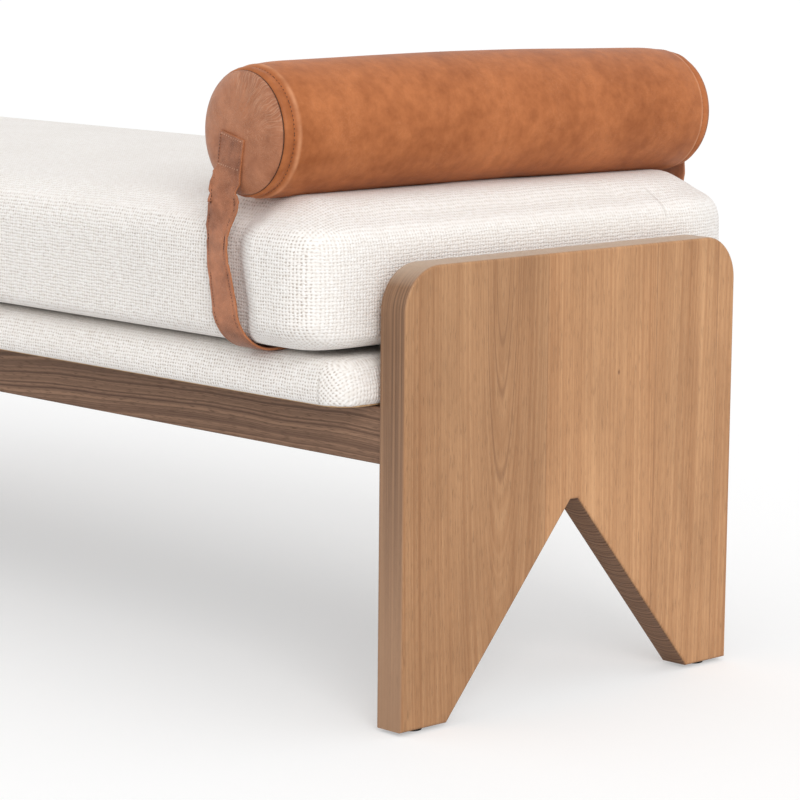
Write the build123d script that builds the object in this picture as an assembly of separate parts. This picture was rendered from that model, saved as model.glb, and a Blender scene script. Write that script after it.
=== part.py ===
from build123d import *
import math
import os

# Cushioned slab-end bench. Millimetres, +Z up, +X towards the end that carries the bolster, origin on the
# floor at the centre of the bench.

# Bench
bench_length = 1524
cut_overrun = 5

# End panels: glued-up slabs with an inverted V cut from the foot
panel_width = 432
panel_height = 406
panel_thickness = 32
panel_corner_radius = 41
panel_edge_ease = 3
notch_foot_width = 320
notch_top_width = 10
notch_height = 180

# Floor glides, one under each foot
glide_radius = 9
glide_height = 3.5
glide_round_share = 0.25
glide_pin_radius = 1.2
glide_pin_length = 16
glide_pin_flange_height = 0.8
glide_pin_flange_radius = 3.2
glide_clearance = 0.1

# Rails and end rails
rail_height = 50
rail_thickness = 28
rail_setback = 3
rail_lift = 235.5
rail_edge_ease = 2
end_rail_thickness = 28

# Bearers across the rails
bearer_count = 3
bearer_width = 70
bearer_thickness = 22
bearer_spacing = 340

# Dowels
long_dowel_radius = 5
long_dowel_length = 40
short_dowel_radius = 4
short_dowel_length = 36
dowel_spacing = 24
bearer_dowel_spacing = 40
dowel_end_clearance = 1
dowel_clearance = 0.1
dowel_round_share = 0.2

# Bolts, washers and threaded inserts that hold the end rails to the panels
bolt_radius = 4
bolt_length = 45
bolt_head_radius = 6.5
bolt_head_height = 8
bolt_socket_width = 6
bolt_socket_depth = 4
bolt_count = 3
bolt_spacing = 110
bolt_clearance = 0.5
insert_radius = 6
insert_length = 18
insert_bore_clearance = 0.1
washer_radius = 9
washer_thickness = 1.6

# Corner blocks
block_leg = 50
block_height = 30
block_upright_share = 0.25
block_sideways_share = 0.55
block_sink_share = 0.3
screw_radius = 2
screw_length = 32
screw_head_radius = 4
screw_head_height = 2.6
screw_clearance = 0.1
screw_drive_width = 2
screw_slot_width = 0.7
screw_drive_depth = 1.2

# Upholstered deck
deck_width = 514
deck_thickness = 41.5
deck_end_gap = 3
deck_corner_radius = 32
deck_edge_radius = 12
board_thickness = 12
board_edge_gap = 4
cover_thickness = 1.2
cover_turn_in = 25
cover_window_corner_radius = 12
layer_clearance = 0.15
dust_cover_thickness = 0.8

# Staples round the dust cover
staple_crown = 11
staple_wire = 1
staple_leg = 7
staple_pitch = 120
staple_edge_distance = 12

# Loose seat cushion
seat_width = 559
seat_draw_in = 4.5
seat_end_gap = 2
seat_edge_height = 125
seat_crown = 15
seat_crown_run = 68
seat_corner_radius = 81
seat_edge_radius = 15
seat_rest_gap = 0.3
seat_wrap_thickness = 12

# Bolster
bolster_radius = 57
bolster_end_radius = 54.8
bolster_dome = 9.1
bolster_arch = 6.8
bolster_shoulder = 50
bolster_inset = 146
bolster_rest_gap = 0.3
leather_thickness = 1.6
bolster_wrap_thickness = 6.5

# Strap round the seat cushion, sewn to the two caps
strap_width = 32
strap_thickness = 2.6
strap_gap = 0.3
strap_offset = 12
strap_tab_sink = 0.8
strap_turn_radius = 10
strap_tab_rise = 2

# Share of the edge height and share of the edge radius drawn in, for the deck's section from foot to top
deck_section_shares = (
    (0, 0.5), (0.04, 0.26), (0.11, 0.1), (0.22, 0.02), (0.5, 0),
    (0.74, 0.05), (0.86, 0.19), (0.94, 0.42), (0.985, 0.72), (1, 1),
)
# The same for the seat cushion's side
seat_side_shares = (
    (0, 0.95), (0.02, 0.6), (0.055, 0.36), (0.11, 0.18), (0.22, 0.06), (0.46, 0),
    (0.7, 0.04), (0.82, 0.13), (0.91, 0.31), (0.965, 0.56), (1, 0.95),
)
# Share of the half width drawn in at each step of the crown
seat_crown_width_shares = (0.08, 0.18, 0.3, 0.44, 0.6, 0.78, 0.94)
seat_crown_corner_share = 0.75
# Places along one shoulder of the sleeve as shares of its length, and the share of the fall in radius there
bolster_shoulder_shares = ((0, 0), (0.3, 0.06), (0.55, 0.17), (0.75, 0.34), (0.9, 0.62), (1, 1))
bolster_arch_shares = (0, 0.33, 0.67)

# Levels and places that follow from the sizes
foot_level = glide_height
rail_top = rail_lift + rail_height
rail_mid = rail_lift + rail_height / 2
rail_y = panel_width / 2 - rail_setback - rail_thickness / 2
rail_inner_y = rail_y - rail_thickness / 2
upright_head_level = rail_top - bearer_thickness
inner_length = bench_length - 2 * panel_thickness
panel_inner_x = inner_length / 2
end_rail_x = panel_inner_x - end_rail_thickness / 2
end_rail_inner_x = panel_inner_x - end_rail_thickness
bearer_z = rail_top - bearer_thickness / 2
deck_top = rail_top + deck_thickness
deck_length = inner_length - 2 * deck_end_gap
board_bottom = rail_top + cover_thickness
board_length = deck_length - 2 * (cover_thickness + board_edge_gap)
board_width = deck_width - 2 * (cover_thickness + board_edge_gap)
board_corner_radius = deck_corner_radius - cover_thickness - board_edge_gap
window_half_length = end_rail_inner_x - block_leg - cover_turn_in
window_half_width = rail_inner_y - cover_turn_in
seat_bottom = deck_top + seat_rest_gap
seat_length = inner_length - 2 * seat_end_gap
seat_edge_top = seat_bottom + seat_edge_height
seat_top = seat_edge_top + seat_crown
bolster_x = bench_length / 2 - bolster_inset
bolster_mid_z = seat_top + bolster_rest_gap + bolster_radius
bolster_end_z = bolster_mid_z - bolster_arch
strap_x = bolster_x - strap_offset
strap_inner_y = seat_width / 2 + strap_gap
sleeve_half = strap_inner_y + strap_tab_sink - bolster_dome
strap_under_z = deck_top + strap_gap
strap_recess_top = strap_under_z + strap_thickness + strap_gap
strap_far_reach = 2 * bolster_x - strap_x + strap_width / 2
strap_recess_half_length = strap_far_reach + cut_overrun
foot_y = (panel_width / 2 + notch_foot_width / 2) / 2


def move(shape, x=0, y=0, z=0):
    return Pos(x, y, z) * shape


def cylinder_along(axis, radius, length):
    """A cylinder centred on the origin along X, Y or Z."""
    turns = {"x": Rotation(0, 90, 0), "y": Rotation(90, 0, 0), "z": Rotation(0, 0, 0)}
    return turns[axis] * Cylinder(radius, length)


def gather(shapes):
    return Compound(children=list(shapes))


# Panels


def panel_outline():
    """Half of the slab's outline, then mirrored: top corner, side, foot and the slope of the notch."""
    half = panel_width / 2
    corner = panel_corner_radius
    with BuildSketch(Plane.YZ) as sketch:
        with BuildLine():
            Polyline((0, panel_height), (half - corner, panel_height))
            RadiusArc((half - corner, panel_height), (half, panel_height - corner), corner)
            Polyline(
                (half, panel_height - corner),
                (half, 0),
                (notch_foot_width / 2, 0),
                (notch_top_width / 2, notch_height),
                (0, notch_height),
                (0, panel_height),
            )
        make_face()
        mirror(about=Plane.YZ)
    return sketch.sketch


def bolt_places():
    return [(step - (bolt_count - 1) / 2) * bolt_spacing for step in range(bolt_count)]


def dowel_heights():
    return (rail_mid - dowel_spacing / 2, rail_mid + dowel_spacing / 2)


def end_panel(side):
    """Slab at one end; side is 1 for the bolster's end and -1 for the other."""
    slab = extrude(panel_outline(), amount=panel_thickness)
    slab = fillet(slab.edges().filter_by(Axis.X, reverse=True), panel_edge_ease)
    slab = move(slab, x=panel_inner_x, z=foot_level)
    for y in bolt_places():
        depth = insert_length + dowel_end_clearance
        slab -= move(cylinder_along("x", insert_radius, depth), panel_inner_x + depth / 2, y, rail_mid)
    for y in (-rail_y, rail_y):
        for z in dowel_heights():
            depth = long_dowel_length / 2 + dowel_end_clearance
            hole = cylinder_along("x", long_dowel_radius + dowel_clearance, depth)
            slab -= move(hole, panel_inner_x + depth / 2, y, z)
    for y in (-foot_y, foot_y):
        depth = glide_pin_length + dowel_end_clearance
        hole = Cylinder(glide_pin_radius + glide_clearance, depth)
        slab -= move(hole, panel_inner_x + panel_thickness / 2, y, foot_level + depth / 2)
    return slab if side > 0 else mirror(slab, about=Plane.YZ)


# Floor glides


def glide(x, y):
    disc = move(Cylinder(glide_radius, glide_height), x, y, glide_height / 2)
    disc = fillet(disc.edges().group_by(Axis.Z)[0], glide_round_share * glide_height)
    return disc - glide_pin(x, y, glide_clearance)


def glide_pin(x, y, clearance=0):
    pin = Cylinder(glide_pin_radius + clearance, glide_pin_length)
    flange = Cylinder(glide_pin_flange_radius + clearance, glide_pin_flange_height)
    pin = move(pin, x, y, foot_level + glide_pin_length / 2)
    return pin + move(flange, x, y, foot_level - glide_pin_flange_height / 2)


# Rails and bearers


def bearer_places():
    return [(step - (bearer_count - 1) / 2) * bearer_spacing for step in range(bearer_count)]


def long_rail(side):
    """Front rail for side -1, back rail for side 1."""
    rail = Box(inner_length, rail_thickness, rail_height)
    rail = fillet(rail.edges().filter_by(Axis.X), rail_edge_ease)
    rail = move(rail, 0, side * rail_y, rail_mid)
    depth = long_dowel_length / 2 + dowel_end_clearance
    for end in (-1, 1):
        for z in dowel_heights():
            hole = cylinder_along("x", long_dowel_radius + dowel_clearance, depth)
            rail -= move(hole, end * (panel_inner_x - depth / 2), side * rail_y, z)
    depth = short_dowel_length / 2 + dowel_end_clearance
    hole = cylinder_along("y", short_dowel_radius + dowel_clearance, depth)
    for x, z in cross_dowel_places():
        rail -= move(hole, x, side * (rail_inner_y + depth / 2), z)
    for end in (-1, 1):
        rail -= block_screw_tools(end, side)
    return rail


def cross_dowel_places():
    """Places, seen from the side, of the dowels between a long rail and what crosses it."""
    places = [(end * end_rail_x, rail_mid) for end in (-1, 1)]
    for x in bearer_places():
        places += [(x - bearer_dowel_spacing / 2, bearer_z), (x + bearer_dowel_spacing / 2, bearer_z)]
    return places


def end_rail(end):
    rail = Box(end_rail_thickness, 2 * rail_inner_y, rail_height)
    rail = move(rail, end * end_rail_x, 0, rail_mid)
    for y in bolt_places():
        hole = cylinder_along("x", bolt_radius + bolt_clearance, end_rail_thickness + 2 * cut_overrun)
        rail -= move(hole, end * end_rail_x, y, rail_mid)
    depth = short_dowel_length / 2 + dowel_end_clearance
    hole = cylinder_along("y", short_dowel_radius + dowel_clearance, depth)
    for side in (-1, 1):
        rail -= move(hole, end * end_rail_x, side * (rail_inner_y - depth / 2), rail_mid)
        rail -= block_screw_tools(end, side)
    return rail


def bearer(x):
    slat = move(Box(bearer_width, 2 * rail_inner_y, bearer_thickness), x, 0, bearer_z)
    depth = short_dowel_length / 2 + dowel_end_clearance
    hole = cylinder_along("y", short_dowel_radius + dowel_clearance, depth)
    for side in (-1, 1):
        for offset in (-bearer_dowel_spacing / 2, bearer_dowel_spacing / 2):
            slat -= move(hole, x + offset, side * (rail_inner_y - depth / 2), bearer_z)
    for y in bearer_screw_places():
        slat -= upright_screw(x, y, upright_head_level, screw_clearance)
    return slat


# Dowels, bolts, washers and inserts


def rounded_dowel(axis, radius, length):
    return fillet(cylinder_along(axis, radius, length).edges(), dowel_round_share * radius)


def rail_dowels():
    dowel = rounded_dowel("x", long_dowel_radius, long_dowel_length)
    ends = [end * panel_inner_x for end in (-1, 1)]
    return gather(move(dowel, x, y, z) for x in ends for y in (-rail_y, rail_y) for z in dowel_heights())


def cross_dowels(places):
    dowel = rounded_dowel("y", short_dowel_radius, short_dowel_length)
    return gather(move(dowel, x, side * rail_inner_y, z) for side in (-1, 1) for x, z in places)


def frame_bolt(end, y):
    """Socket-head bolt from inside the end rail into the panel's insert; the head's seat is the washer."""
    seat = end_rail_inner_x - washer_thickness
    shank = move(cylinder_along("x", bolt_radius, bolt_length), seat + bolt_length / 2)
    head = move(cylinder_along("x", bolt_head_radius, bolt_head_height), seat - bolt_head_height / 2)
    hexagon = RegularPolygon(bolt_socket_width / 2, 6, major_radius=False)
    socket = Rotation(0, 90, 0) * extrude(hexagon, bolt_socket_depth)
    bolt = shank + head - move(socket, seat - bolt_head_height)
    bolt = bolt if end > 0 else mirror(bolt, about=Plane.YZ)
    return move(bolt, 0, y, rail_mid)


def frame_washer(end, y):
    ring = cylinder_along("x", washer_radius, washer_thickness)
    ring -= cylinder_along("x", bolt_radius + bolt_clearance, washer_thickness + 2 * cut_overrun)
    return move(ring, end * (end_rail_inner_x - washer_thickness / 2), y, rail_mid)


def panel_insert(end, y):
    sleeve = cylinder_along("x", insert_radius, insert_length)
    sleeve -= cylinder_along("x", bolt_radius + insert_bore_clearance, insert_length + 2 * cut_overrun)
    return move(sleeve, end * (panel_inner_x + insert_length / 2), y, rail_mid)


def at_bolts(piece):
    return gather(piece(end, y) for end in (-1, 1) for y in bolt_places())


# Corner blocks and screws


def corner_block(end, side):
    """Three-cornered block glued under the deck in one corner of the frame."""
    leg = block_leg
    block = extrude(make_face(Polyline((0, 0), (-leg, 0), (0, -leg), close=True)), block_height)
    block = move(block, end_rail_inner_x, rail_inner_y, rail_top - block_height)
    block = block if side > 0 else mirror(block, about=Plane.XZ)
    block = block if end > 0 else mirror(block, about=Plane.YZ)
    block -= block_screw_tools(end, side)
    x, y = block_screw_corner(end, side)
    return block - upright_screw(x, y, upright_head_level, screw_clearance)


def block_screw_corner(end, side):
    """Where the upright screw passes a corner block, near its square corner."""
    inset = block_upright_share * block_leg
    return end * (end_rail_inner_x - inset), side * (rail_inner_y - inset)


def screw(clearance=0):
    """Screw along +Z, its head's top at the origin; clearance widens it into a hole and opens it below."""
    shank = move(Cylinder(screw_radius + clearance, screw_length), z=screw_length / 2)
    head = move(Cylinder(screw_head_radius + clearance, screw_head_height), z=screw_head_height / 2)
    if clearance:
        return shank + head + move(Cylinder(screw_head_radius + clearance, block_leg), z=-block_leg / 2)
    slot = Box(screw_drive_width, screw_slot_width, 2 * screw_drive_depth)
    return shank + head - slot - Rotation(0, 0, 90) * slot


def block_screws(end, side, clearance=0):
    along = block_sideways_share * block_leg
    sink = block_sink_share * block_leg
    z = rail_top - block_height / 2
    sideways = Rotation(-90, 0, 0) * screw(clearance)
    endways = Rotation(0, 90, 0) * screw(clearance)
    first = move(sideways, end_rail_inner_x - along, rail_inner_y - sink, z)
    second = move(endways, end_rail_inner_x - sink, rail_inner_y - along, z)
    pair = [first, second]
    if side < 0:
        pair = [mirror(item, about=Plane.XZ) for item in pair]
    if end < 0:
        pair = [mirror(item, about=Plane.YZ) for item in pair]
    return pair


def block_screw_tools(end, side):
    first, second = block_screws(end, side, screw_clearance)
    return first + second


def corner_block_screws():
    return gather(item for end in (-1, 1) for side in (-1, 1) for item in block_screws(end, side))


def upright_screw(x, y, z, clearance=0):
    return move(screw(clearance), x, y, z)


def bearer_screw_places():
    return (-rail_inner_y / 2, rail_inner_y / 2)


def deck_screw_places():
    """Each upright screw's place and the level of its head."""
    places = [(x, y) for x in bearer_places() for y in bearer_screw_places()]
    places += [block_screw_corner(end, side) for end in (-1, 1) for side in (-1, 1)]
    return [(x, y, upright_head_level) for x, y in places]


def deck_screws():
    return gather(upright_screw(*place) for place in deck_screw_places())


# Upholstered forms


def rounded_outline(half_length, half_width, corner, draw_in, z):
    """Cushion outline at one level: straight ends, round corners, long sides bowed inwards by draw_in."""
    straight_x = half_length - corner
    straight_y = half_width - corner
    middle = half_width - draw_in
    slant = corner * (1 - math.cos(math.pi / 4))
    near_x = half_length - slant
    near_y = half_width - slant
    with BuildLine(Plane.XY.offset(z)) as line:
        Line((half_length, -straight_y), (half_length, straight_y))
        ThreePointArc((half_length, straight_y), (near_x, near_y), (straight_x, half_width))
        if draw_in > 0:
            ThreePointArc((straight_x, half_width), (0, middle), (-straight_x, half_width))
        else:
            Line((straight_x, half_width), (-straight_x, half_width))
        ThreePointArc((-straight_x, half_width), (-near_x, near_y), (-half_length, straight_y))
        Line((-half_length, straight_y), (-half_length, -straight_y))
        ThreePointArc((-half_length, -straight_y), (-near_x, -near_y), (-straight_x, -half_width))
        if draw_in > 0:
            ThreePointArc((-straight_x, -half_width), (0, -middle), (straight_x, -half_width))
        else:
            Line((-straight_x, -half_width), (straight_x, -half_width))
        ThreePointArc((straight_x, -half_width), (near_x, -near_y), (half_length, -straight_y))
    return make_face(line.line)


def deck_form(inset=0):
    """The deck's upholstered outline; inset gives the same form one layer further in."""
    height = deck_thickness - 2 * inset
    outlines = []
    for level_share, draw_share in deck_section_shares:
        drawn = inset + draw_share * deck_edge_radius
        outlines.append(
            rounded_outline(
                deck_length / 2 - drawn,
                deck_width / 2 - drawn,
                deck_corner_radius - drawn,
                0,
                rail_top + inset + level_share * height,
            )
        )
    return loft(outlines, ruled=True)


def seat_form(inset=0):
    """The seat cushion: rounded sides that fill out at mid height, and a crown across its width."""
    height = seat_edge_height - 2 * inset
    half_length = seat_length / 2 - inset
    half_width = seat_width / 2 - inset
    edge_top = seat_bottom + inset + height
    outlines = []
    for level_share, draw_share in seat_side_shares:
        drawn = draw_share * seat_edge_radius
        corner = seat_corner_radius - inset - drawn
        z = seat_bottom + inset + level_share * height
        outlines.append(rounded_outline(half_length - drawn, half_width - drawn, corner, seat_draw_in, z))
    for width_share in seat_crown_width_shares:
        left = 1 - width_share
        rise_share = 1 - left**2
        run_share = 1 - math.sqrt(1 - rise_share**2)
        corner = seat_crown_corner_share * min(seat_corner_radius, half_width * left)
        run = half_length - seat_edge_radius - run_share * seat_crown_run
        z = edge_top + rise_share * seat_crown
        outlines.append(rounded_outline(run, half_width * left, corner, seat_draw_in * left, z))
    return loft(outlines, ruled=True)


def seat_recess(extra=0):
    """Shallow hollow under the seat cushion that the strap lies and slides in."""
    length = 2 * (strap_recess_half_length + extra)
    height = strap_recess_top - seat_bottom + extra + cut_overrun
    return move(Box(length, seat_width + 2 * cut_overrun, height), z=strap_recess_top + extra - height / 2)


def board_outline():
    return RectangleRounded(board_length, board_width, board_corner_radius)


def deck_board():
    board = move(extrude(board_outline(), board_thickness), z=board_bottom)
    for place in deck_screw_places():
        board -= upright_screw(*place, screw_clearance)
    for item in staple_list():
        board -= item
    return board


def deck_window(thickness):
    """The opening that the turned-under cover leaves below the board."""
    outline = RectangleRounded(2 * window_half_length, 2 * window_half_width, cover_window_corner_radius)
    return move(extrude(outline, thickness), z=rail_top)


def deck_cover():
    cover = deck_form() - deck_form(cover_thickness)
    cover -= deck_window(cover_thickness + cut_overrun)
    cover -= move(Box(board_length, board_width, board_thickness), z=board_bottom + board_thickness / 2)
    for place in deck_screw_places():
        cover -= upright_screw(*place, screw_clearance)
    for item in staple_list():
        cover -= item
    return cover


def deck_foam():
    pad = deck_form(cover_thickness + layer_clearance)
    pad -= move(extrude(board_outline(), 2 * board_thickness), z=board_bottom - board_thickness)
    for place in deck_screw_places():
        pad -= upright_screw(*place, screw_clearance)
    return pad


def dust_cover():
    sheet = move(deck_window(dust_cover_thickness), z=cover_thickness - dust_cover_thickness)
    for place in deck_screw_places():
        sheet -= upright_screw(*place, screw_clearance)
    return sheet


def staple_steps(reach):
    count = int(2 * reach // staple_pitch)
    return [(step - (count - 1) / 2) * staple_pitch for step in range(count)]


def staple_places():
    """Along the four sides of the turned-under cover: place and whether the crown runs along X."""
    reach_x = window_half_length + staple_edge_distance
    reach_y = window_half_width + staple_edge_distance
    places = [(x, y, True) for x in staple_steps(reach_x) for y in (-reach_y, reach_y)]
    return places + [(x, y, False) for y in staple_steps(reach_y) for x in (-reach_x, reach_x)]


def staple(x, y, along_x):
    crown = Box(staple_crown, staple_wire, staple_wire / 2)
    leg = Box(staple_wire, staple_wire, staple_leg)
    piece = move(crown, z=-staple_wire / 4)
    for side in (-1, 1):
        piece += move(leg, side * (staple_crown - staple_wire) / 2, 0, staple_leg / 2 - staple_wire / 2)
    piece = piece if along_x else Rotation(0, 0, 90) * piece
    return move(piece, x, y, rail_top)


def clear_of_frame(x, y):
    """Staples are kept off the rails, bearers and corner blocks that press on the cover."""
    if abs(y) > rail_inner_y - staple_crown or abs(x) > end_rail_inner_x - staple_crown:
        return False
    if any(abs(x - place) < bearer_width / 2 + staple_crown for place in bearer_places()):
        return False
    return abs(x) + abs(y) < end_rail_inner_x + rail_inner_y - block_leg - staple_crown


def staple_list():
    return [staple(x, y, along_x) for x, y, along_x in staple_places() if clear_of_frame(x, y)]


def seat_cover():
    shell = seat_form() - seat_recess()
    hollow = seat_form(cover_thickness) - seat_recess(cover_thickness)
    return shell - hollow


def seat_wrap():
    layer = cover_thickness + layer_clearance
    outer = seat_form(layer) - seat_recess(layer)
    return outer - seat_form(layer + seat_wrap_thickness)


def seat_foam_core():
    return seat_form(cover_thickness + seat_wrap_thickness + 2 * layer_clearance)


# Bolster


def bolster_stations():
    """Half of the sleeve, from its middle to a cap seam: distance from the middle and radius there."""
    shoulder_start = sleeve_half - bolster_shoulder
    fall = bolster_radius - bolster_end_radius
    stations = [(share * shoulder_start, bolster_radius) for share in bolster_arch_shares]
    for place_share, fall_share in bolster_shoulder_shares:
        place = shoulder_start + place_share * bolster_shoulder
        stations.append((place, bolster_radius - fall_share * fall))
    return stations


def bolster_tube(inset=0):
    """The sleeve's form between its two cap seams, with its middle lifted over the cushion's crown."""
    half = bolster_stations()
    stations = [(-y, radius) for y, radius in reversed(half[1:])] + half
    rings = []
    for y, radius in stations:
        z = bolster_mid_z - bolster_arch * (y / sleeve_half) ** 2
        rings.append(Plane((bolster_x, y, z), x_dir=(1, 0, 0), z_dir=(0, 1, 0)) * Circle(radius - inset))
    return loft(rings, ruled=True)


def cap_dome(side, inset=0):
    """The swell of one cap beyond its seam, a slice of a ball."""
    base = bolster_end_radius - inset
    depth = bolster_dome - inset
    with BuildSketch(Plane.XY) as section:
        with BuildLine():
            ball = (base**2 + depth**2) / (2 * depth)
            RadiusArc((base, 0), (0, depth), -ball)
            Polyline((0, depth), (0, 0), (base, 0))
        make_face()
    dome = revolve(section.sketch, Axis.Y)
    dome = dome if side > 0 else mirror(dome, about=Plane.XZ)
    return move(dome, bolster_x, side * sleeve_half, bolster_end_z)


def bolster_volume(inset):
    return bolster_tube(inset) + cap_dome(-1, inset) + cap_dome(1, inset)


def bolster_cap(side):
    return cap_dome(side) - cap_dome(side, leather_thickness)


def bolster_wrap():
    layer = leather_thickness + layer_clearance
    return bolster_volume(layer) - bolster_volume(layer + bolster_wrap_thickness)


def bolster_core():
    return bolster_volume(leather_thickness + bolster_wrap_thickness + 2 * layer_clearance)


def bolster_strap():
    """Flat strap from one cap, down the cushion's side, under it and up to the other cap."""
    top = bolster_end_z + strap_tab_rise
    inner = strap_inner_y
    outer = inner + strap_thickness
    turn = strap_turn_radius
    under = strap_under_z
    ceiling = under + strap_thickness
    with BuildSketch(Plane.YZ) as section:
        with BuildLine():
            Polyline((0, under), (inner - turn, under))
            RadiusArc((inner - turn, under), (outer, ceiling + turn), -(turn + strap_thickness))
            Polyline((outer, ceiling + turn), (outer, top), (inner, top), (inner, ceiling + turn))
            RadiusArc((inner, ceiling + turn), (inner - turn, ceiling), turn)
            Polyline((inner - turn, ceiling), (0, ceiling), (0, under))
        make_face()
        mirror(about=Plane.YZ)
    strap = move(extrude(section.sketch, amount=strap_width / 2, both=True), x=strap_x)
    return strap - cap_dome(-1) - cap_dome(1)


def write(name, shape):
    shape.label = name
    export_step(shape, f"parts/{name}.step")
    print(name)


os.makedirs("parts", exist_ok=True)

end_names = {1: "right", -1: "left"}
side_names = {1: "back", -1: "front"}
glide_x = panel_inner_x + panel_thickness / 2

for end, end_name in end_names.items():
    write(f"{end_name}_end_panel", end_panel(end))
    write(f"{end_name}_end_rail", end_rail(end))
    for side, side_name in side_names.items():
        write(f"{end_name}_{side_name}_glide", glide(end * glide_x, side * foot_y))
        write(f"{end_name}_{side_name}_corner_block", corner_block(end, side))
for side, side_name in side_names.items():
    write(f"{side_name}_rail", long_rail(side))
for number, place in enumerate(bearer_places(), start=1):
    write(f"bearer_{number}", bearer(place))

glide_places = [(end * glide_x, side * foot_y) for end in end_names for side in side_names]
write("glide_pins", gather(glide_pin(*place) for place in glide_places))
write("rail_dowels", rail_dowels())
write("end_rail_dowels", cross_dowels(cross_dowel_places()[: len(end_names)]))
write("bearer_dowels", cross_dowels(cross_dowel_places()[len(end_names) :]))
write("frame_bolts", at_bolts(frame_bolt))
write("frame_washers", at_bolts(frame_washer))
write("panel_inserts", at_bolts(panel_insert))
write("corner_block_screws", corner_block_screws())
write("deck_screws", deck_screws())
write("deck_board", deck_board())
write("deck_foam", deck_foam())
write("deck_cover", deck_cover())
write("dust_cover", dust_cover())
write("cover_staples", gather(staple_list()))
write("seat_cover", seat_cover())
write("seat_wrap", seat_wrap())
write("seat_foam_core", seat_foam_core())
write("bolster_sleeve", bolster_tube() - bolster_tube(leather_thickness))
for side, side_name in side_names.items():
    write(f"bolster_{side_name}_cap", bolster_cap(side))
write("bolster_wrap", bolster_wrap())
write("bolster_core", bolster_core())
write("bolster_strap", bolster_strap())
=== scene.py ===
import bpy
import bmesh
import math
import numpy as np
from mathutils import Matrix, Vector, noise


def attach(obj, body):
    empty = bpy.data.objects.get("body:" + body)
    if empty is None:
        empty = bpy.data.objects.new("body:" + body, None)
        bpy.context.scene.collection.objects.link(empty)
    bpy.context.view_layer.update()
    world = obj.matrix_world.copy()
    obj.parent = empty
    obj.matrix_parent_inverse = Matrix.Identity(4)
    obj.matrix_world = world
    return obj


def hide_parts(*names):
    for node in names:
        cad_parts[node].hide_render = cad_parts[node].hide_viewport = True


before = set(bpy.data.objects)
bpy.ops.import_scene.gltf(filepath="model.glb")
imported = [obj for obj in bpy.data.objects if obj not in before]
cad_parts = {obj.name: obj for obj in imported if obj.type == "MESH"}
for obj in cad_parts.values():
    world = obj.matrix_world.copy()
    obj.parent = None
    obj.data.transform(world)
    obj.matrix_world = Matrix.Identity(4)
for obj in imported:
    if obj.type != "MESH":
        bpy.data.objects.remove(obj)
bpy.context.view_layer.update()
scene = bpy.context.scene
print("frame loaded")


# colours are written as they look on screen, 0 to 255; share darkens one
def srgb(colour, share=1.0):
    def linear(c):
        c = share * c / 255
        return c / 12.92 if c <= 0.04045 else ((c + 0.055) / 1.055) ** 2.4
    return (*(linear(c) for c in colour), 1)


# camera at the photograph's angle
cameraView = {
    "place": (2.6917, -2.0944, 0.7185), "yaw": 44.1444, "pitch": 8.9123, "roll": 0.5627,
    "lens": 144.09, "farthest": 50,
}


def makeCamera():
    yaw, pitch, roll = (math.radians(cameraView[k]) for k in ("yaw", "pitch", "roll"))
    level = math.cos(pitch)
    ahead = Vector((-level * math.cos(yaw), level * math.sin(yaw), -math.sin(pitch)))
    side = Vector((math.sin(yaw), math.cos(yaw), 0))
    top = side.cross(ahead)
    sideRolled = side * math.cos(roll) + top * math.sin(roll)
    topRolled = top * math.cos(roll) - side * math.sin(roll)
    data = bpy.data.cameras.new("photoCamera")
    data.lens = cameraView["lens"]
    data.clip_end = cameraView["farthest"]
    camera = bpy.data.objects.new("photoCamera", data)
    turn = Matrix((sideRolled, topRolled, -ahead)).transposed()
    camera.matrix_world = Matrix.Translation(cameraView["place"]) @ turn.to_4x4()
    scene.collection.objects.link(camera)
    scene.camera = camera


makeCamera()
scene.view_settings.view_transform = "Standard"
print("camera set")

shaderTree = {"current": None}  # the tree that new shader nodes go into


# a number or vector in the shader tree, written in sums like a plain number
class Wire:
    def __init__(self, socket):
        self.socket = socket

    def __add__(self, other):
        return calc("ADD", self, other)

    def __sub__(self, other):
        return calc("SUBTRACT", self, other)

    def __rsub__(self, other):
        return calc("SUBTRACT", other, self)

    def __mul__(self, other):
        return calc("MULTIPLY", self, other)

    def __truediv__(self, other):
        return calc("DIVIDE", self, other)

    def __pow__(self, other):
        return calc("POWER", self, other)

    def __gt__(self, other):
        return calc("GREATER_THAN", self, other)

    def __lt__(self, other):
        return calc("LESS_THAN", self, other)

    def __abs__(self):
        return calc("ABSOLUTE", self)

    __radd__ = __add__
    __rmul__ = __mul__


def feed(socket, value):
    if isinstance(value, Wire):
        shaderTree["current"].links.new(value.socket, socket)
    else:
        socket.default_value = value


def put(kind, inputs=None, **settings):
    node = shaderTree["current"].nodes.new("ShaderNode" + kind)
    for name, value in settings.items():
        setattr(node, name, value)
    for name, value in (inputs or {}).items():
        feed(node.inputs[name], value)
    return node


def wire(kind, inputs, output=0, **settings):
    return Wire(put(kind, inputs, **settings).outputs[output])


def calc(operation, *values):
    return wire("Math", dict(enumerate(values)), operation=operation)


def join(x=0.0, y=0.0, z=0.0):
    return wire("CombineXYZ", {0: x, 1: y, 2: z})


def parts(vector):
    return [Wire(socket) for socket in put("SeparateXYZ", {0: vector}).outputs]


def noiseAt(vector, scale=1.0, detail=2.0, rough=0.5):
    return wire("TexNoise", {"Vector": vector, "Scale": scale, "Detail": detail, "Roughness": rough})


def noiseLine(w, scale, detail, rough):
    inputs = {"W": w, "Scale": scale, "Detail": detail, "Roughness": rough}
    return wire("TexNoise", inputs, noise_dimensions="1D")


def cellEdge(vector, scale):
    return wire("TexVoronoi", {"Vector": vector, "Scale": scale}, feature="DISTANCE_TO_EDGE")


def span(value, low, high, outLow=0.0, outHigh=1.0, soft=False):
    kind = "SMOOTHSTEP" if soft else "LINEAR"
    return wire("MapRange", {0: value, 1: low, 2: high, 3: outLow, 4: outHigh}, interpolation_type=kind)


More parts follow.
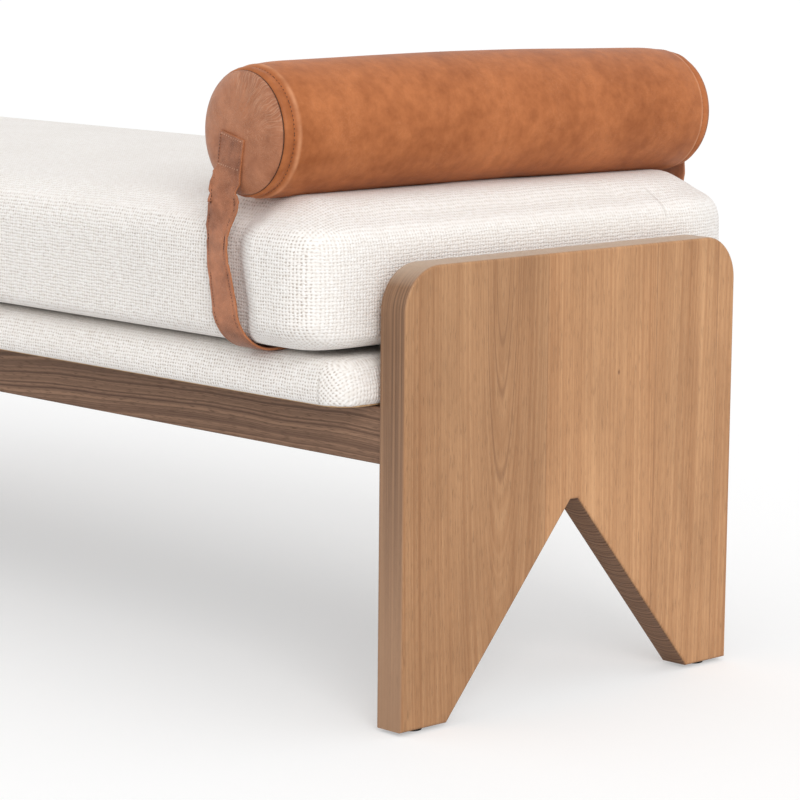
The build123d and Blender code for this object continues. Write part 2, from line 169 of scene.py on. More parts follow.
def tint(share, a, b, blend="MIX"):
    return wire("Mix", {0: share, 6: a, 7: b}, 2, data_type="RGBA", blend_type=blend)


def mixed(share, a, b):
    return wire("Mix", {0: share, 2: a, 3: b})


# inputs without a start value are vectors
def startGroup(name, inputs, outputs):
    tree = bpy.data.node_groups.new(name, "ShaderNodeTree")
    shaderTree["current"] = tree
    for label, start in inputs.items():
        kind = "Vector" if start is None else "Float"
        socket = tree.interface.new_socket(label, in_out="INPUT", socket_type="NodeSocket" + kind)
        if start is not None:
            socket.default_value = start
    for label in outputs:
        tree.interface.new_socket(label, in_out="OUTPUT", socket_type="NodeSocketFloat")
    given = tree.nodes.new("NodeGroupInput").outputs
    return tree, {label: Wire(given[label]) for label in inputs}, tree.nodes.new("NodeGroupOutput").inputs


def useGroup(group, inputs):
    node = put("Group", inputs, node_tree=group)
    return {socket.name: Wire(socket) for socket in node.outputs}


# plain two-way weave of uneven yarns, seen square on
def makeWeaveGroup():
    inputs = {"Across": 0.0, "Along": 0.0, "Pitch Across": 0.0034, "Pitch Along": 0.003}
    tree, given, out = startGroup("plainWeave", inputs, ("Height", "Gap", "Tone"))
    flat = join(given["Across"], given["Along"])
    counts = []
    for label, slow, quick in (("Across", 38, 230), ("Along", 61, 270)):
        count = given[label] / given["Pitch " + label]
        for scale, sway in ((slow, 0.9), (quick, 0.75)):
            count = count + (noiseAt(flat, scale) - 0.5) * sway
        counts.append(count)
    ridges, raised = [], []
    for this, other, turn in ((counts[0], counts[1], 0.0), (counts[1], counts[0], 1.0)):
        yarn = calc("FLOOR", this)
        slub = noiseAt(join(yarn * 1.7, other * 0.55, 9 * turn))
        ridge = calc("MAXIMUM", calc("SINE", calc("FRACT", this) * math.pi), 0.0)
        ridge = ridge ** span(slub, 0.32, 0.68, 1.2, 0.3)
        wave = span(calc("SINE", (other + yarn + turn) * math.pi), -1.0, 1.0)
        ridges.append(ridge)
        raised.append(ridge * ((wave * 0.62 + 0.38) * (slub * 0.9 + 0.5)))
    hair = noiseAt(flat, 1300, 2, 0.6)
    feed(out["Height"], hair * 0.25 + calc("MAXIMUM", *raised))
    hole = (1.0 - ridges[0]) * (1.0 - ridges[1])
    gapShadeShare = span(noiseAt(flat, 210, 3, 0.6), 0.30, 0.60, 0.2, 1.0)
    feed(out["Gap"], span(hole, 0.0, 0.36, soft=True) * gapShadeShare)
    feed(out["Tone"], noiseAt(join(counts[0] * 0.8, counts[1] * 0.55), 1.0, 3, 0.65))
    return tree


# the weave laid on the three directions of a cushion; its gaps are painted darkest on the long sides, as
# shade where the light grazes them
def makeClothGroup(weave):
    inputs = {"Position": None, "Facing": None, "Pitch Across": 0.0034, "Pitch Along": 0.003}
    tree, given, out = startGroup("wovenCover", inputs, ("Height", "Gap", "Tone", "Fade"))
    place = parts(given["Position"])
    weights = [abs(side) ** 10.0 for side in parts(given["Facing"])]
    total = weights[0] + weights[1] + weights[2]
    gapShadeByFacing = (0.35, 1.0, 0.45)
    sums = {}
    for weight, gapShadeShare, (across, along) in zip(weights, gapShadeByFacing, ((1, 2), (0, 2), (0, 1))):
        inputs = {"Across": place[across], "Along": place[along]}
        inputs.update({key: given[key] for key in ("Pitch Across", "Pitch Along")})
        share = weight / total
        for key, value in useGroup(weave, inputs).items():
            amount = share * gapShadeShare if key == "Gap" else share
            sums[key] = amount * value + sums.get(key, 0.0)
    for key, value in sums.items():
        feed(out[key], value)
    feed(out["Fade"], noiseAt(given["Position"], 9, 4))
    return tree


# ash: growth rings round a heart that leans away from the face, with long dark pores
def makeGrainGroup():
    names = ("Along", "Across", "Depth", "Centre", "Heart", "Lean", "Seed", "Wander")
    inputs = {name: 0.0 for name in names}
    tree, given, out = startGroup("ashGrain", inputs, ("Ring", "Pore", "Streak", "Height", "Radius"))
    across, depth = given["Across"], given["Depth"]
    along = given["Along"] + given["Seed"]

    def drawnOut(lengthwise, crosswise):
        return join(along * lengthwise, across * crosswise, depth * crosswise)

    wander = (noiseAt(drawnOut(3.0, 9.0), 1.0, 3) - 0.5) * given["Wander"]
    side = across - given["Centre"] + wander
    deep = given["Heart"] + depth + given["Along"] * given["Lean"]
    radius = calc("SQRT", side * side + deep * deep)
    ring = noiseLine(radius + given["Seed"], 330, 3, 0.62)
    feed(out["Ring"], span(ring, 0.3, 0.72, soft=True))
    feed(out["Radius"], radius)
    pore = noiseAt(drawnOut(70.0, 1000.0), 1.0, 2, 0.55)
    pores = span(pore, 0.54, 0.7) * span(ring, 0.35, 0.6, 0.35, 1.0)
    feed(out["Pore"], pores)
    feed(out["Streak"], noiseAt(drawnOut(1.6, 70.0), 1.0, 3, 0.6))
    feed(out["Height"], ring * 0.3 - pores)
    return tree


# leather: small pebbles, soft blotches, thin creases, and pale wear spots with the creases painted pale as
# highlight
def makeHideGroup():
    inputs = {"Position": None, "Crease": 0.5, "Crease Scale": 46.0}
    tree, given, out = startGroup("hideGrain", inputs, ("Height", "Blotch", "WearAndHighlight"))
    place = given["Position"]
    swirl = wire("TexNoise", {"Vector": place, "Scale": 30.0}, 1)
    bent = wire("VectorMath", {0: place, 1: swirl, 2: place}, operation="MULTIPLY_ADD")
    creases = span(cellEdge(bent, given["Crease Scale"]), 0.0, 0.05, 1.0, 0.0, soft=True)
    creases = creases * span(noiseAt(place, 22), 0.42, 0.62)
    height = span(cellEdge(place, 820.0), 0.0, 0.25) * 0.25 + noiseAt(place, 260, 3, 0.6) * 0.9
    feed(out["Height"], height - creases * given["Crease"])
    feed(out["Blotch"], noiseAt(place, 75, 4, 0.65) * 0.45 + noiseAt(place, 11, 4, 0.6) * 0.55)
    # random pale wear spots, and painted highlight along the creases
    feed(out["WearAndHighlight"], calc("MAXIMUM", span(noiseAt(place, 190, 5, 0.7), 0.62, 0.75), creases))
    return tree


clothGroup = makeClothGroup(makeWeaveGroup())
grainGroup = makeGrainGroup()
hideGroup = makeHideGroup()
print("shader groups built")


# gives the material, its shader's inputs, and the place and facing on the object
def startMaterial(name, roughness, **plain):
    material = bpy.data.materials.new(name)
    material.use_nodes = True
    shaderTree["current"] = material.node_tree
    shader = material.node_tree.nodes["Principled BSDF"].inputs
    shader["Roughness"].default_value = roughness
    for label, value in plain.items():
        shader[label].default_value = value
    coords = put("TexCoord").outputs
    return material, shader, Wire(coords["Object"]), Wire(coords["Normal"])


def addBump(shader, height, distance, strength):
    feed(shader["Normal"], wire("Bump", {"Height": height, "Distance": distance, "Strength": strength}))


# the axis that the grain runs along, across and into, the two tones, and how strongly rings and pores show
woodFinishes = {
    "panelWood": {
        "axes": (2, 1, 0), "dark": (154, 106, 68), "light": (206, 159, 116),
        "roughness": 0.5, "rings": 0.2, "pores": 0.42,
    },
    # the rails' tones are darker than the panels' same wood, painting the shade under the deck's overhang
    "shadedRailWood": {
        "axes": (0, 2, 1), "dark": (92, 65, 49), "light": (156, 121, 96),
        "roughness": 0.55, "rings": 0.66, "pores": 0.7,
    },
    "endRailWood": {
        "axes": (1, 2, 0), "dark": (104, 74, 56), "light": (156, 120, 94),
        "roughness": 0.6, "rings": 0.5, "pores": 0.5,
    },
    "blockWood": {
        "axes": (1, 0, 2), "dark": (140, 104, 74), "light": (188, 150, 112),
        "roughness": 0.65, "rings": 0.4, "pores": 0.4,
    },
    "dowelWood": {
        "axes": (0, 1, 2), "dark": (166, 130, 92), "light": (206, 174, 134),
        "roughness": 0.65, "rings": 0.4, "pores": 0.3,
    },
    "plywood": {
        "axes": (0, 1, 2), "dark": (162, 126, 88), "light": (206, 172, 130),
        "roughness": 0.7, "rings": 0.4, "pores": 0.3,
    },
}
woodFinishes["crossDowelWood"] = dict(woodFinishes["dowelWood"], axes=(1, 0, 2))
plainGrain = {"Centre": 0.06, "Heart": 0.09, "Lean": 0.10, "Seed": 2.0, "Wander": 0.024}
panelStaves = {
    "joints": (-0.0392, 0.1061, 0.1915), "jointTone": (128, 88, 60), "shades": (0.95, 1.16, 1.12, 1.15),
    "archPlace": -0.097, "archHeart": -0.7231, "archLean": -0.09,
    "arches": (0.0088, 0.0128, 0.0195), "archTone": (132, 92, 62),
    "knot": (0.0558, 0.2942), "knotSize": 0.0022, "knotTone": (84, 52, 34),
}
panelEdge = {
    # low paints bounce light from the floor on the lower edges, top paints light from above on the upward
    # faces
    "dark": (88, 62, 46), "light": (150, 114, 86), "low": (186, 148, 118), "top": (196, 176, 156),
    "endDark": (96, 68, 52), "endLight": (142, 108, 84), "middleX": 0.746,
}


# each stave of the end panels is cut from its own board; the first has a pointed figure
def panelGrain(across, depth):
    stave = sum(across > edge for edge in panelStaves["joints"]) + (depth < 0.0) * 7.0
    chance = wire("TexWhiteNoise", {"W": stave}, noise_dimensions="1D")
    first = stave < 0.5
    grain = {
        "Centre": mixed(first, stave * 0.1 + chance * 0.06 + 0.16, panelStaves["archPlace"]),
        "Heart": mixed(first, chance * 0.06 - 0.70, panelStaves["archHeart"]),
        "Lean": mixed(first, chance * 0.16 - 0.08, panelStaves["archLean"]),
        "Seed": stave * 3.1,
        "Wander": 0.004,
    }
    return grain, first


def stavesTone(colour, radius, first, along, across):
    shades = panelStaves["shades"]
    shade = shades[0]
    for edge, before, after in zip(panelStaves["joints"], shades, shades[1:]):
        shade = (across > edge) * (after - before) + shade
    colour = tint(1.0, colour, join(shade, shade, shade), "MULTIPLY")
    for edge in panelStaves["joints"]:
        line = span(abs(across - edge), 0.0003, 0.0011, 0.35, 0.0, soft=True)
        colour = tint(line, colour, srgb(panelStaves["jointTone"]))
    knotY, knotZ = panelStaves["knot"]
    offset = join(0.0, across - knotY, (along - knotZ) * 0.6)
    away = wire("VectorMath", {0: offset}, "Value", operation="LENGTH")
    knot = span(away, 0.0, panelStaves["knotSize"], 0.75, 0.0, soft=True)
    colour = tint(knot, colour, srgb(panelStaves["knotTone"]))
    for size in panelStaves["arches"]:
        line = span(abs(radius - size), 0.0, 0.0008, 0.5, 0.0, soft=True)
        colour = tint(line * first, colour, srgb(panelStaves["archTone"]))
    return colour


# the panels' narrow faces: striped sides, painted lighter towards the floor as bounce light and paler on the
# tops as painted light from above, and arcs of end grain in the notch and under the feet
def panelEdgeTone(facing, along, across, depth):
    fine = join(along * 3.0, 0.0, depth * 420.0)
    stripe = span(noiseAt(fine, 1.0, 3, 0.6), 0.34, 0.66)
    tone = tint(stripe, srgb(panelEdge["dark"]), srgb(panelEdge["light"]))
    # painted bounce light: lighter towards the floor
    tone = tint(span(along, 0.08, 0.34, 0.6, 0.0), tone, srgb(panelEdge["low"]))
    # painted light: upward faces paler
    tone = tint(span(facing[2], 0.55, 1.0), tone, srgb(panelEdge["top"]))
    fromMiddle = abs(depth) - panelEdge["middleX"]
    arcs = noiseLine(fromMiddle * 9.0 * fromMiddle + across * 0.8, 900, 2, 0.5)
    endTone = tint(span(arcs, 0.38, 0.62), srgb(panelEdge["endDark"]), srgb(panelEdge["endLight"]))
    return tint(span(facing[2], -0.2, -0.4), tone, endTone)


def makeWood(name):
    finish = woodFinishes[name]
    material, shader, position, normal = startMaterial(name, finish["roughness"])
    shader["Specular IOR Level"].default_value = 0.35
    place = parts(position)
    along, across, depth = (place[k] for k in finish["axes"])
    panel = name == "panelWood"
    cut, first = panelGrain(across, depth) if panel else (plainGrain, None)
    grain = useGroup(grainGroup, {"Along": along, "Across": across, "Depth": depth, **cut})
    tone = grain["Ring"] * finish["rings"] + grain["Streak"] * (1 - finish["rings"])
    colour = tint(span(tone, 0.15, 0.85), srgb(finish["dark"]), srgb(finish["light"]))
    colour = tint(grain["Pore"] * finish["pores"], colour, srgb(finish["dark"], 0.66))
    if panel:
        colour = stavesTone(colour, grain["Radius"], first, along, across)
        cloud = noiseAt(join(across, along * 0.35, depth), 26, 4, 0.6)
        colour = tint(span(cloud, 0.40, 0.72, 0.0, 0.22), colour, srgb(finish["dark"], 0.78))
        facing = parts(normal)
        narrow = span(abs(facing[0]), 0.35, 0.8, 1.0, 0.0)
        colour = tint(narrow * 0.88, colour, panelEdgeTone(facing, along, across, depth))
    feed(shader["Base Color"], colour)
    feed(shader["Roughness"], grain["Pore"] * 0.2 + finish["roughness"])
    addBump(shader, grain["Height"], 0.00025, 0.8)
    return material


# cream cover cloth on the seat and the deck
clothFinish = {
    "pitch": (0.0034, 0.00303), "yarn": (253, 250, 247), "hole": (160, 141, 127), "relief": 0.0010,
    "faded": (214, 205, 194), "seam": (150, 138, 124),
}


def makeCloth(name, shade, seamPlaces, biasFrom=None):
    finish = clothFinish
    same = {"Sheen Weight": 0.25, "Sheen Roughness": 0.5, "Specular IOR Level": 0.2}
    material, shader, position, normal = startMaterial(name, 0.92, **same)
    place = parts(position)
    if biasFrom:  # the cloth folded round the corners runs slantwise there
        beyond = abs(place[0]) > biasFrom
        slant = calc("SIGN", place[0]) * 0.7
        leaning = join(place[2] * slant + place[0] * 0.72, place[1], place[2] * 0.72 - place[0] * slant)
        position = wire("Mix", {0: beyond, 4: position, 5: leaning}, 1, data_type="VECTOR")
    inputs = {"Position": position, "Facing": normal}
    inputs["Pitch Across"], inputs["Pitch Along"] = finish["pitch"]
    cover = useGroup(clothGroup, inputs)
    # raised yarn painted lighter by its height, as light on the weave's relief, mixed with a random tone per
    # yarn
    raisedYarnLight = span(cover["Height"], 0.2, 0.85) * span(cover["Tone"], 0.3, 0.6, 0.35, 1.0)
    colour = tint(raisedYarnLight, srgb(shade), srgb(finish["yarn"]))
    # painted shade in the weave's gaps between the yarns
    colour = tint(cover["Gap"] * 0.68, colour, srgb(finish["hole"]))
    colour = tint(span(cover["Fade"], 0.35, 0.7, 0.0, 0.12), colour, srgb(finish["faded"]))
    height = cover["Height"]
    for spot in seamPlaces:  # a seam line running up the side at one x or y
        away = abs(place[spot["axis"]] - spot["at"])
        within = (place[1 - spot["axis"]] * spot["side"]) > spot["from"]
        within = within * (place[2] < spot["below"]) * (place[2] > spot["above"])
        line = span(away, 0.0002, 0.0022, 1.0, 0.0, soft=True) * within
        colour = tint(line * 0.2, colour, srgb(finish["seam"]))
        height = height - line * 0.6
    feed(shader["Base Color"], colour)
    addBump(shader, height, finish["relief"], 0.9)
    return material


leatherFinishes = {
    "sleeveLeather": {
        "dark": (150, 84, 44), "light": (194, 119, 71), "wearAndHighlightTone": (206, 140, 96), "wearAndHighlightShare": 0.24,
        "roughness": 0.5, "shine": 0.2, "crease": 0.5, "creaseScale": 46.0, "relief": 0.00018,
        # rim pale paints the highlight on the ridge past the topstitch
        "rim": {"x": 0.62175, "slope": 0.0204, "at": 0.25594, "wide": 0.0032, "pale": (222, 158, 116)},
    },
    # the cap's tones are duller than the sleeve's, painting the lower light and sheen on its upright ends
    "capLeather": {
        "dark": (146, 89, 59), "light": (192, 129, 94), "wearAndHighlightTone": (222, 172, 138), "wearAndHighlightShare": 0.3,
        "roughness": 0.4, "shine": 0.34, "crease": 0.8, "creaseScale": 70.0, "relief": 0.00022,
        # fan pale paints highlights on the cap's creases
        "fan": {"x": 0.6163, "z": 0.5174, "depth": 10.0, "towards": 0.95, "pale": (230, 186, 156)},
    },
    "strapLeather": {
        # its large wear-and-highlight share paints highlights on the strap's folds
        "dark": (102, 54, 32), "light": (198, 130, 94), "wearAndHighlightTone": (222, 168, 134), "wearAndHighlightShare": 0.55,
        "roughness": 0.38, "shine": 0.42, "crease": 1.8, "creaseScale": 120.0, "relief": 0.0004,
    },
}


# creases that fan out from the seam over one part of the cap: their height and where they show
def capFan(fan, position):
    place = parts(position)
    across, upright = place[0] - fan["x"], place[2] - fan["z"]
    turn = calc("ARCTAN2", upright, across)
    radius = calc("SQRT", across * across + upright * upright)
    bent = noiseAt(position, 45) * 0.4 + turn
    creases = noiseAt(join(bent * 36.0, radius * 44.0, calc("SIGN", place[1])), 1.0, 4, 0.6)
    where = span(abs(turn - fan["towards"]), 0.45, 1.1, 1.0, 0.12, soft=True)
    return creases, where * span(radius, 0.022, 0.046, soft=True)


# a pale band painted round the sleeve just past the topstitch, as the highlight on the seam's ridge
def rimHighlight(rim, position):
    place = parts(position)
    lengthwise = (place[0] - rim["x"]) * rim["slope"] + place[1]
    ridge = span(abs(rim["at"] - abs(lengthwise)), 0.0, rim["wide"], 0.6, 0.0, soft=True)
    return ridge * span(noiseAt(position, 60, 3), 0.3, 0.6, 0.4, 1.0)


def makeLeather(name):
    finish = leatherFinishes[name]
    material, shader, position = startMaterial(name, finish["roughness"])[:3]
    shader["Specular IOR Level"].default_value = finish["shine"]
    inputs = {"Position": position, "Crease": finish["crease"], "Crease Scale": finish["creaseScale"]}
    hide = useGroup(hideGroup, inputs)
    colour = tint(span(hide["Blotch"], 0.34, 0.66), srgb(finish["dark"]), srgb(finish["light"]))
    # pale wear spots and painted highlights on the creases
    colour = tint(hide["WearAndHighlight"] * finish["wearAndHighlightShare"], colour, srgb(finish["wearAndHighlightTone"]))
    feed(shader["Roughness"], hide["Blotch"] * 0.18 + (finish["roughness"] - 0.09))
    height = hide["Height"]
    if "fan" in finish:
        creases, where = capFan(finish["fan"], position)
        height = height + creases * where * finish["fan"]["depth"]
        # painted highlight: the fanned creases' ridges pale on the cap's upper right
        colour = tint(span(creases, 0.48, 0.68) * (where * 0.42), colour, srgb(finish["fan"]["pale"]))
    if "rim" in finish:
        # painted highlight on the ridge past the topstitch
        colour = tint(rimHighlight(finish["rim"], position), colour, srgb(finish["rim"]["pale"]))
    feed(shader["Base Color"], colour)
    addBump(shader, height, finish["relief"], 0.7)
    return material


plainFinishes = {
    "cutLeather": {"dark": (150, 90, 52), "light": (196, 126, 82), "roughness": 0.75, "scale": 900},
    "seamShadow": {"dark": (58, 32, 20), "light": (86, 50, 32), "roughness": 0.9, "scale": 400},
    "stitchThread": {"dark": (58, 31, 18), "light": (104, 60, 40), "roughness": 0.7, "scale": 1500},
    "paleThread": {"dark": (186, 140, 112), "light": (232, 200, 176), "roughness": 0.7, "scale": 1500},
    "glidePlastic": {"dark": (14, 14, 14), "light": (34, 33, 32), "roughness": 0.5, "scale": 500},
    "zincSteel": {
        "dark": (120, 120, 118), "light": (176, 176, 172), "roughness": 0.35, "scale": 300, "metal": 1.0,
    },
    "insertBrass": {
        "dark": (150, 118, 60), "light": (206, 172, 100), "roughness": 0.35, "scale": 300, "metal": 1.0,
    },
    "blackCloth": {"dark": (12, 12, 13), "light": (40, 40, 42), "roughness": 0.95, "scale": 1400},
}


def makePlain(name):
    finish = plainFinishes[name]
    metal = finish.get("metal", 0.0)
    material, shader, position = startMaterial(name, finish["roughness"], Metallic=metal)[:3]
    speck = noiseAt(position, finish["scale"], 3, 0.6)
    feed(shader["Base Color"], tint(span(speck, 0.3, 0.7), srgb(finish["dark"]), srgb(finish["light"])))
    addBump(shader, speck, 0.0002, 0.5)
    return material


woods = {name: makeWood(name) for name in woodFinishes}
leathers = {name: makeLeather(name) for name in leatherFinishes}
plains = {name: makePlain(name) for name in plainFinishes}
seatSeams = [
    {"axis": 1, "at": 0.1685, "side": side, "from": 0.69, "above": 0.425, "below": 0.450} for side in (1, -1)
]
deckSeams = [
    {"axis": 0, "at": end * 0.695, "side": side, "from": 0.2, "above": 0.28, "below": 0.311}
    for end in (1, -1) for side in (1, -1)
]
seatCloth = makeCloth("seatCloth", (238, 231, 223), seatSeams)
deckCloth = makeCloth("deckCloth", (237, 230, 222), deckSeams, biasFrom=0.695)
print("finishes built")

corners = [end + side for end in ("right_", "left_") for side in ("front_", "back_")]
nodeFinishes = {
    "panelWood": ("right_end_panel", "left_end_panel"),
    "shadedRailWood": ("front_rail", "back_rail"),
    "endRailWood": ("right_end_rail", "left_end_rail", "bearer_1", "bearer_2", "bearer_3"),
    "blockWood": [corner + "corner_block" for corner in corners],
    "dowelWood": ("rail_dowels",),
    "crossDowelWood": ("end_rail_dowels", "bearer_dowels"),
    "plywood": ("deck_board",),
    "glidePlastic": [corner + "glide" for corner in corners],
    "zincSteel": (
        "glide_pins", "frame_bolts", "frame_washers", "corner_block_screws", "deck_screws", "cover_staples",
    ),
    "insertBrass": ("panel_inserts",),
    "blackCloth": ("dust_cover",),
}
for finishName, nodeNames in nodeFinishes.items():
    for nodeName in nodeNames:
        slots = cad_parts[nodeName].data.materials
        slots.clear()
        slots.append(woods.get(finishName) or plains.get(finishName))
print("frame pieces finished")


# mesh helpers
def makeObject(name, points, faces, *materials):
    mesh = bpy.data.meshes.new(name)
    mesh.from_pydata([tuple(p) for p in points], [], faces)
    mesh.validate()
    for material in materials:
        mesh.materials.append(material)
    obj = bpy.data.objects.new(name, mesh)
    scene.collection.objects.link(obj)
    mesh.shade_smooth()
    return obj


def readPoints(obj):
    values = np.empty(len(obj.data.vertices) * 3)
    obj.data.vertices.foreach_get("co", values)
    return values.reshape(-1, 3)


def writePoints(obj, points):
    obj.data.vertices.foreach_set("co", np.ascontiguousarray(points, dtype=np.float32).ravel())
    obj.data.update()


def applyModifiers(obj):
    done = bpy.data.meshes.new_from_object(obj.evaluated_get(bpy.context.evaluated_depsgraph_get()))
    done.name = obj.data.name
    obj.modifiers.clear()
    obj.data = done
    done.shade_smooth()


def refine(obj):
    finer = obj.modifiers.new("finer", "SUBSURF")
    finer.levels = finer.render_levels = 1
    applyModifiers(obj)


# adds faces given by point numbers and turns every face outward
def finishFaces(obj, extra=()):
    work = bmesh.new()
    work.from_mesh(obj.data)
    work.verts.ensure_lookup_table()
    for face in extra:
        work.faces.new([work.verts[i] for i in face])
    bmesh.ops.recalc_face_normals(work, faces=work.faces)
    work.to_mesh(obj.data)
    work.free()
    obj.data.shade_smooth()


def softStep(value, low, high):
    t = np.clip((value - low) / (high - low), 0, 1)
    return t * t * (3 - 2 * t)


# faces between rings of count points each, numbered from start on
def ringFaces(rings, count, start=0):
    faces = []
    for low in range(start, start + (rings - 1) * count, count):
        for k in range(count):
            n = (k + 1) % count
            faces.append((low + k, low + n, low + count + n, low + count + k))
    return faces


def endFaces(rings, count, start=0):
    last = start + (rings - 1) * count
    return [tuple(reversed(range(start, start + count))), tuple(range(last, last + count))]


def stackRings(name, rings, *materials):
    count = len(rings[0])
    points = [p for ring in rings for p in ring]
    return makeObject(name, points, ringFaces(len(rings), count) + endFaces(len(rings), count), *materials)


# a ring of points round a cushion; the corner nearest the camera has its own radius
cushionRing = {"cornerSteps": 10, "sideSteps": (40, 16, 40, 16), "roundest": 0.98, "least": 0.012}


def roundedRing(halfX, halfY, corner, nearCorner, z, drawIn):
    cornerSteps = cushionRing["cornerSteps"]
    widest = min(halfX, halfY) * cushionRing["roundest"]
    sizes = [min(size, widest) for size in (corner, corner, corner, nearCorner)]
    arcs = []
    for k, (size, (sx, sy)) in enumerate(zip(sizes, ((1, 1), (-1, 1), (-1, -1), (1, -1)))):
        cx, cy = sx * (halfX - size), sy * (halfY - size)
        turns = [math.pi / 2 * (k + step / cornerSteps) for step in range(cornerSteps + 1)]
        arcs.append([(cx + size * math.cos(turn), cy + size * math.sin(turn)) for turn in turns])
    ring = []
    for k, steps in enumerate(cushionRing["sideSteps"]):
        (ax, ay), (bx, by) = arcs[k][-1], arcs[(k + 1) % 4][0]
        shares = [step / steps for step in range(1, steps)]
        ring += arcs[k] + [(ax + (bx - ax) * share, ay + (by - ay) * share) for share in shares]
    return [(x, y - drawIn * (1 - (x / halfX) ** 2) * (y / halfY), z) for x, y in ring]


# rings up a cushion's side: rounded foot, straight wall and rounded shoulder
def sideRings(shape, edgeTop, footShares, wallShares, shoulderShares):
    shrink, foot, shoulder = shape["shrink"], shape["bottomRound"], shape["topRound"]
    low, high = shape["bottom"] + shrink, edgeTop - shrink
    levels = []  # how far in and how high
    for share in footShares:
        turn = share * math.pi / 2
        levels.append((foot * (1 - math.sin(turn)), low + foot * (1 - math.cos(turn))))
    levels += [(0, low + foot + share * (high - shoulder - low - foot)) for share in wallShares]
    for share in shoulderShares:
        turn = share * math.pi / 2
        levels.append((shoulder * (1 - math.cos(turn)), high - shoulder * (1 - math.sin(turn))))
    rings = []
    for inset, z in levels:
        sizes = [max(shape[key] - inset, cushionRing["least"]) for key in ("corner", "nearCorner")]
        halfX, halfY = (shape[key] - shrink - inset for key in ("halfLength", "halfWidth"))
        rings.append(roundedRing(halfX, halfY, *sizes, z, shape["drawIn"]))
    return rings


# stuffs a closed mesh: cloth under inner pressure, each point held to a set travel
stuffing = {
    "frames": 20, "quality": 4, "mass": 0.25, "stretch": 12, "shear": 4, "bending": 0.4,
    "pinFade": 0.012, "quickShare": 0.8,
}


def simulatedTravel(obj, start, settings):
    cloth = obj.modifiers.new("stuffing", "CLOTH")
    values = cloth.settings
    values.quality = stuffing["quality"]
    values.mass = stuffing["mass"]
    values.tension_stiffness = values.compression_stiffness = stuffing["stretch"]
    values.shear_stiffness = stuffing["shear"]
    values.bending_stiffness = settings.get("bending", stuffing["bending"])
    values.use_pressure = True
    values.uniform_pressure_force = settings["pressure"]
    values.effector_weights.gravity = 0
    cloth.point_cache.frame_start = 1
    cloth.point_cache.frame_end = stuffing["frames"]
    for step in range(1, stuffing["frames"] + 1):
        scene.frame_set(step)
    moved = readPoints(obj.evaluated_get(bpy.context.evaluated_depsgraph_get()))
    scene.frame_set(1)
    obj.modifiers.remove(cloth)
    travel = moved - start
    length = np.linalg.norm(travel, axis=1, keepdims=True)
    return travel * np.minimum(1, settings["travel"] / np.maximum(length, 1e-9))


def stuff(obj, settings):
    if "voxel" in settings:
        remesh = obj.modifiers.new("evenMesh", "REMESH")
        remesh.mode = "VOXEL"
        remesh.voxel_size = settings["voxel"]
        applyModifiers(obj)
    start = readPoints(obj)
    travel = simulatedTravel(obj, start, settings)
    pinBelow = settings.get("pinBelow", -1)  # the foot, which lies on something, stays where it is
    travel *= softStep(start[:, 2:], pinBelow, pinBelow + stuffing["pinFade"])
    writePoints(obj, start + travel)


# the deck, flat underneath, with a window above the dust cover
deckShape = {
    "halfLength": 0.727, "halfWidth": 0.257, "corner": 0.032, "nearCorner": 0.032, "bottom": 0.2855,
    "top": 0.3270, "topRound": 0.017, "bottomRound": 0.004, "drawIn": 0.0, "shrink": 0.0010,
    "stuffing": {"voxel": 0.006, "travel": 0.0025, "pressure": 3, "pinBelow": 0.300},
    "windowX": 0.627, "windowY": 0.16, "windowTop": 0.2867,
}


def makeDeck():
    shape = deckShape
    rings = sideRings(shape, shape["top"], (0.0, 0.4, 0.75, 1.0), (), (0.0, 0.3, 0.6, 0.85, 1.0))
    deck = stackRings("upholsteredDeck", rings, deckCloth)
    stuff(deck, shape["stuffing"])
    p = readPoints(deck)
    x, y, z = p[:, 0], p[:, 1], p[:, 2]
    z[:] = np.clip(z, shape["bottom"], shape["top"] + 0.0002)
    inWindow = (np.abs(x) < shape["windowX"]) & (np.abs(y) < shape["windowY"])
    z[inWindow & (z < shape["windowTop"])] = shape["windowTop"]
    y[:] = np.clip(y, -shape["halfWidth"] - 0.0005, shape["halfWidth"] + 0.0005)
    x[:] = np.clip(x, -shape["halfLength"], shape["halfLength"])
    writePoints(deck, p)
    refine(deck)
    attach(deck, "bench_frame")
    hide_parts("deck_cover", "deck_foam")
    print("deck made")


# the strap's stations: x and z as seen on the cushion's side, turn in degrees about its own length, lift off
strapSides = {
    "front": (
        (0.6065, 0.4816, 6.6, -0.0008), (0.6030, 0.4727, 3.0, -0.0002), (0.6018, 0.4675, 7.7, 0.0006),
        (0.6019, 0.4620, 7.3, 0.0014), (0.6014, 0.4577, 12.2, 0.0020), (0.6015, 0.4523, 11.2, 0.0022),
        (0.5987, 0.4488, 6.2, 0.0016), (0.5955, 0.4379, -2.6, 0.0010), (0.5936, 0.4280, -7.6, 0.0006),
        (0.5934, 0.4164, -10.9, 0.0004), (0.5948, 0.4037, -9.3, 0.0002), (0.5980, 0.3894, -5.3, 0.0),
        (0.6012, 0.3751, -3.4, 0.0), (0.6032, 0.3670, -1.2, 0.0),
    ),
    "back": (
        (0.6200, 0.4840, -4, -0.0008), (0.6205, 0.4700, -6, 0.0006), (0.6205, 0.4560, -8, 0.0014),
        (0.6190, 0.4400, -4, 0.0008), (0.6165, 0.4200, 3, 0.0), (0.6140, 0.4000, 5, 0.0),
        (0.6120, 0.3760, 3, 0.0), (0.6112, 0.3670, 0, 0.0),
    ),
}
strapShape = {
    "width": 0.032, "thickness": 0.0026, "inner": 0.2798, "turnCentreY": 0.2490, "turnCentreZ": 0.3630,
    "turnY": 0.0321, "turnZ": 0.0344, "underX": 0.6140, "tabRise": (0.0004, -0.0010), "cushionGap": 0.0016,
}


# one column of the stations at a height, by straight lines between them
def strapAt(side, z, column=0):
    stations = np.array(strapSides[side])[::-1]
    return np.interp(z, stations[:, 1], stations[:, column])


